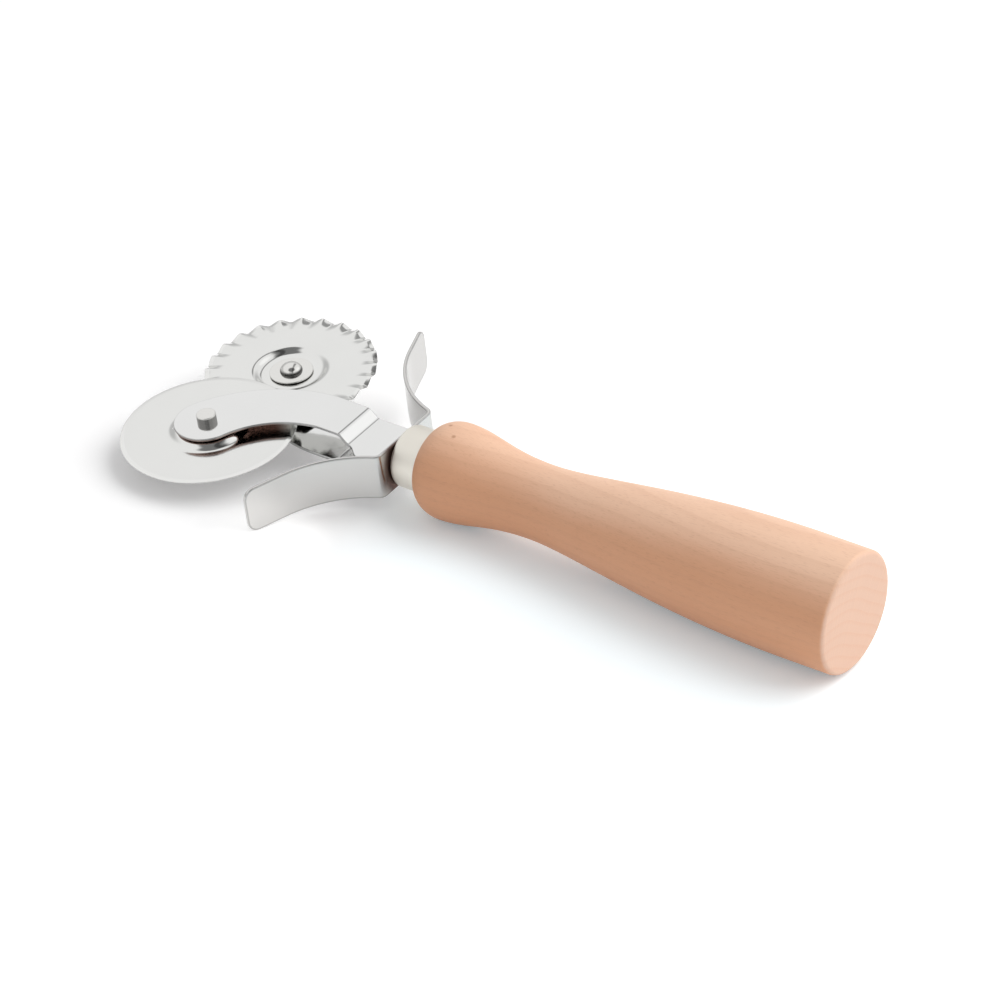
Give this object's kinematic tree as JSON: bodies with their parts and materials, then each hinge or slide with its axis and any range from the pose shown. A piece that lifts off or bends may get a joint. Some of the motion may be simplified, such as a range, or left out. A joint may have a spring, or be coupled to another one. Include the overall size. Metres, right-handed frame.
{
  "type": "pasta cutter wheel",
  "caption": "Hand pasta and pastry cutter: a smooth and a fluted wheel side by side on a joggled sheet-metal fork with flared finger wings, on a turned wooden handle with a ferrule.",
  "frame": {"origin": "centre of the handle's flat butt face", "axes": "+X along the handle's axis towards the wheels, +Y to the smooth wheel's side, +Z square to the wheels, on the side of the arm that carries the smooth wheel"},
  "size_m": [0.2007, 0.0789, 0.0302],
  "materials": {
    "beech": "raw, sanded",
    "ferrule_metal": "satin",
    "tang_steel": "as rolled",
    "wing_steel": "polished",
    "arm_steel": "polished",
    "wheel_steel": "polished",
    "axle_steel": "polished"
  },
  "bodies": {
    "tool": {"handle": "beech", "ferrule": "ferrule_metal", "tang": "tang_steel", "wing_strip": "wing_steel", "upper_arm": "arm_steel", "lower_arm": "arm_steel", "smooth_axle": "axle_steel", "fluted_axle": "axle_steel", "smooth_washer": "axle_steel", "fluted_washer": "axle_steel"},
    "smooth_cutter": {"smooth_wheel": "wheel_steel"},
    "fluted_cutter": {"fluted_wheel": "wheel_steel"}
  },
  "joints": [
    {"name": "smooth_wheel_spin", "type": "hinge", "parent": "tool", "child": "smooth_cutter", "pos_m": [0.1782, 0.0165, 0.0009], "axis": [0, 0, 1], "continuous": true},
    {"name": "fluted_wheel_spin", "type": "hinge", "parent": "tool", "child": "fluted_cutter", "pos_m": [0.1782, -0.0165, -0.0009], "axis": [0, 0, 1], "continuous": true}
  ]
}
